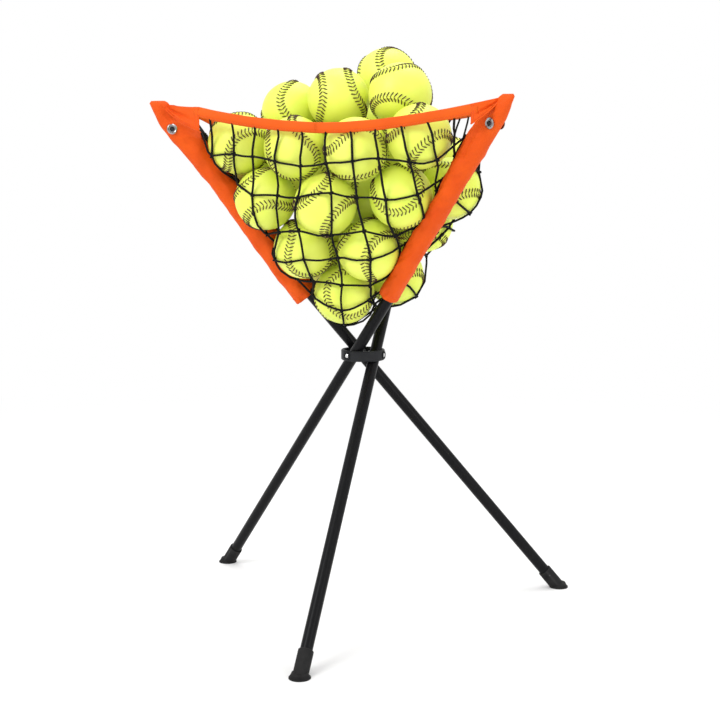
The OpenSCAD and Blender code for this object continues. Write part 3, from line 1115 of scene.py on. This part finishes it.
def sleeve_surface(leg, s, angle, thinner=0.0):
    """Point of the cloth. angle 0 faces the basket, and the pole lies inside."""
    outer, inner, wide = sleeve_reach(leg, s)
    share = (s - leg.start) / (leg.tip - leg.start)
    middle, reach = (inner - outer) / 2, (inner + outer) / 2
    seed = 11.0 * LEGS.index(leg)
    across = math.cos(angle)
    ripple = noise.fractal(Vector((s * 30.0 + seed, across * 0.9, math.sin(angle) * 0.9)), 0.6, 2.0, 3)
    pucker = noise.noise(Vector((s * 55.0 + across * 1.6 + seed, across * 0.7, math.sin(angle) * 1.5)))
    pucker = abs(pucker) ** 0.8 * smooth((leg.tip - s) / 0.03)
    crease = 1.5 * crease_depth(leg, share, angle)
    pointed = 1 - 0.22 * max(0.0, across)
    n = middle + (reach + EDGE_RIPPLE * ripple - crease - thinner) * across
    swell = FACE_RIPPLE * ripple - PUCKER * pucker
    e = (wide + swell - crease - thinner) * math.sin(angle) * pointed
    # cloth never cuts into the pole
    radius = math.hypot(n, e)
    least = POLE_R + (0.0014 if thinner == 0.0 else 0.0003)
    if radius < least and s < leg.tip - TIP_FREE:
        n, e = n * least / radius, e * least / radius
    free = smooth(1 - (leg.tip - s) / TIP_FREE)
    level = n * math.tan(leg.lean) * smooth(1 - (leg.tip - s) / 0.030)
    return leg.at(s - 0.95 * level, n + TIP_BEND[leg.name] * free, e)


def sleeve(leg):
    piece = Piece()
    end = leg.tip - 0.0004 - leg.start
    places = [leg.start + end * (i / SLEEVE_STEPS) for i in range(SLEEVE_STEPS + 1)]
    angles = [2 * math.pi * j / SLEEVE_SIDES for j in range(SLEEVE_SIDES)]
    outer = np.array([[sleeve_surface(leg, s, a) for a in angles] for s in places])
    inner = np.array([[sleeve_surface(leg, s, a, FABRIC) for a in angles] for s in places[:-2]])
    outer = clear_of_balls(outer, 0.0016)
    inner = clear_of_balls(inner, 0.0004)
    # a turned hem at the lower end
    lip = (outer[0] + inner[0]) / 2 - leg.along * 0.0010
    rows = [*inner[::-1], lip, *outer]
    u = [-s for s in places[:-2][::-1]] + [places[0] - 0.002] + places
    v = [j * 0.110 / SLEEVE_SIDES for j in range(SLEEVE_SIDES + 1)]
    piece.add_grid(rows, True, u, v, caps=(True, True))
    hem = leg.start + HEM_UP
    for angle in angles:
        ends = [sleeve_surface(leg, hem, a) for a in (angle, angle + 0.6 * 2 * math.pi / SLEEVE_SIDES)]
        ends = clear_of_balls(ends, 0.0018)
        sew(piece, ends[0], ends[1], unit(ends[0] - leg.at(hem)))
    mesh = piece.build(f"sleeve_{leg.name}_cloth", [SLEEVE_CLOTH, SEWING])
    return as_object(f"fabric_sleeve_{leg.name}", mesh)


WEB_RIDGE, WEB_FOLD, WEB_RIPPLE = 0.0026, 0.0042, 0.0016
WEB_STEPS, WEB_DROPS = 26, 12


def corner_web(leg, span, sign):
    """The cloth that carries the band's pull: from the corner's tip, over the pocket, to a seam."""
    steps, drops = WEB_STEPS, WEB_DROPS
    half = span.half(RIM_Z)
    length = web_length(span, leg)
    top_start = sleeve_surface(leg, leg.tip - TIP_ROUND, sign * 0.45, 0.0016)
    low_start = sleeve_surface(leg, leg.tip - 0.016, sign * 1.35, 0.0012)
    seam_top = band_point(span, sign * (half - length))
    drop = WEB_DROP * length / WEB_LENGTH if span.k == 2 else 0.002
    seam_low = seam_top - UP * (band_height(span, sign * (half - length)) + drop)
    rows = []
    for i in range(steps + 1):
        u = i / steps
        on_band = band_point(span, sign * (half - length * u - BAND_INSET * (1 - u)))
        top = top_start + (on_band - top_start) * smooth(u * 1.3)
        low = low_start + (seam_low - low_start) * u - UP * 0.003 * math.sin(math.pi * u)
        low = low + span.face() * 0.004 * math.sin(math.pi * u)
        row = []
        for j in range(drops + 1):
            v = j / drops
            ripple = noise.fractal(Vector((u * 5.0, v * 2.2, 3.0 * span.k + sign)), 0.6, 2.0, 3)
            fold = WEB_FOLD * math.exp(-(((v - 0.38 - 0.34 * u) / 0.11) ** 2))
            fold -= WEB_RIDGE * math.exp(-(((v - 0.62 - 0.24 * u) / 0.10) ** 2))
            lift = (WEB_RIPPLE * ripple - fold) * math.sin(math.pi * min(1.0, 1.15 * u))
            row.append(top * (1 - v) + low * v + span.face() * (lift - 0.0004))
        rows.append(row)
    rows = clear_of_balls(np.array(rows), 0.002)
    face = span.face()
    piece = Piece()
    rings = [list(row) + [p - face * FABRIC for p in row[::-1]] for row in rows]
    u = [i * length / steps for i in range(steps + 1)]
    v = [j * 0.034 / drops for j in range(2 * (drops + 1) + 1)]
    piece.add_grid(rings, True, u, v, caps=(True, True))
    piece.add_tube(rows[:, -1] - face * 0.0004, 0.0012, 8)
    # two lines of stitches down the seam, and one along the lower edge
    down = [(rows[i][j], rows[i][j + 1]) for i in (steps - 1, steps - 3) for j in range(1, drops - 1)]
    along = [(rows[i][drops - 1], rows[i + 1][drops - 1]) for i in range(2, steps - 4)]
    for a, b in down + along:
        sew(piece, a + (b - a) * 0.15, a + (b - a) * 0.80, face)
    name = f"corner_web_{leg.name}_{SIDES[span.k]}"
    return as_object(name, piece.build(name, [SLEEVE_CLOTH, SEWING]))


for k, leg in enumerate(LEGS):
    cloth = sleeve(leg)
    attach(cloth, leg.body)
    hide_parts(f"sleeve_{leg.name}", f"tip_pocket_{leg.name}")
    for span, sign in ((SPANS[k], -1), (SPANS[(k + 2) % 3], 1)):
        web = corner_web(leg, span, sign)
        ride_half(web, span, sign, leg)


# ---- floor and light ----
BACKDROP = (1.0, 1.0, 1.0)


def floor():
    n = Nodes("floor")
    place = n.place()
    away = n.add("ShaderNodeVectorMath", {0: place}, operation="LENGTH").outputs["Value"]
    tone = n.ramp(n.noise(place, 3.0, 4.0), [(0.3, (0.83, 0.83, 0.835)), (0.7, (0.86, 0.86, 0.865))])
    n.set(Base_Color=tone, Roughness=0.75, Specular_IOR_Level=0.2)
    glow = n.add("ShaderNodeEmission", {"Color": (*BACKDROP, 1.0), "Strength": 1.0})
    edge = n.add("ShaderNodeMapRange", {"Value": away, "From Min": 0.55, "From Max": 2.4},
                 interpolation_type="SMOOTHSTEP").outputs[0]
    blend = n.add("ShaderNodeMixShader", {0: edge, 1: n.shader.outputs[0], 2: glow.outputs[0]})
    n.tree.links.new(blend.outputs[0], n.output.inputs[0])
    piece = Piece()
    size = 14.0
    corners = [(-size, -size, 0.0), (size, -size, 0.0), (size, size, 0.0), (-size, size, 0.0)]
    piece.add(corners, [(0, 1, 2, 3)], [(0, 0), (1, 0), (1, 1), (0, 1)])
    plane = as_object("floor", piece.build("floor", [n.material]))


floor()

world = bpy.data.worlds.new("studio")
world.use_nodes = True
background = world.node_tree.nodes["Background"]
background.inputs["Color"].default_value = (*BACKDROP, 1.0)
background.inputs["Strength"].default_value = 1.0
bpy.context.scene.world = world


def softbox(name, place, target, size, power):
    data = bpy.data.lights.new(name, "AREA")
    data.shape = "RECTANGLE"
    data.size, data.size_y = size
    data.energy = power
    light = bpy.data.objects.new(name, data)
    light.location = place
    light.rotation_euler = (Vector(target) - Vector(place)).to_track_quat("-Z", "Y").to_euler()
    bpy.context.scene.collection.objects.link(light)


BASKET = (float(HUB[0]), float(HUB[1]), 0.65)
softbox("key", (-1.2, -2.2, 2.4), BASKET, (1.4, 1.4), 42.0)
softbox("fill", (2.4, -1.2, 1.2), BASKET, (1.2, 1.8), 14.0)
softbox("top", (0.2, 0.6, 2.8), BASKET, (1.6, 1.6), 22.0)
bpy.context.scene.view_settings.view_transform = "Standard"
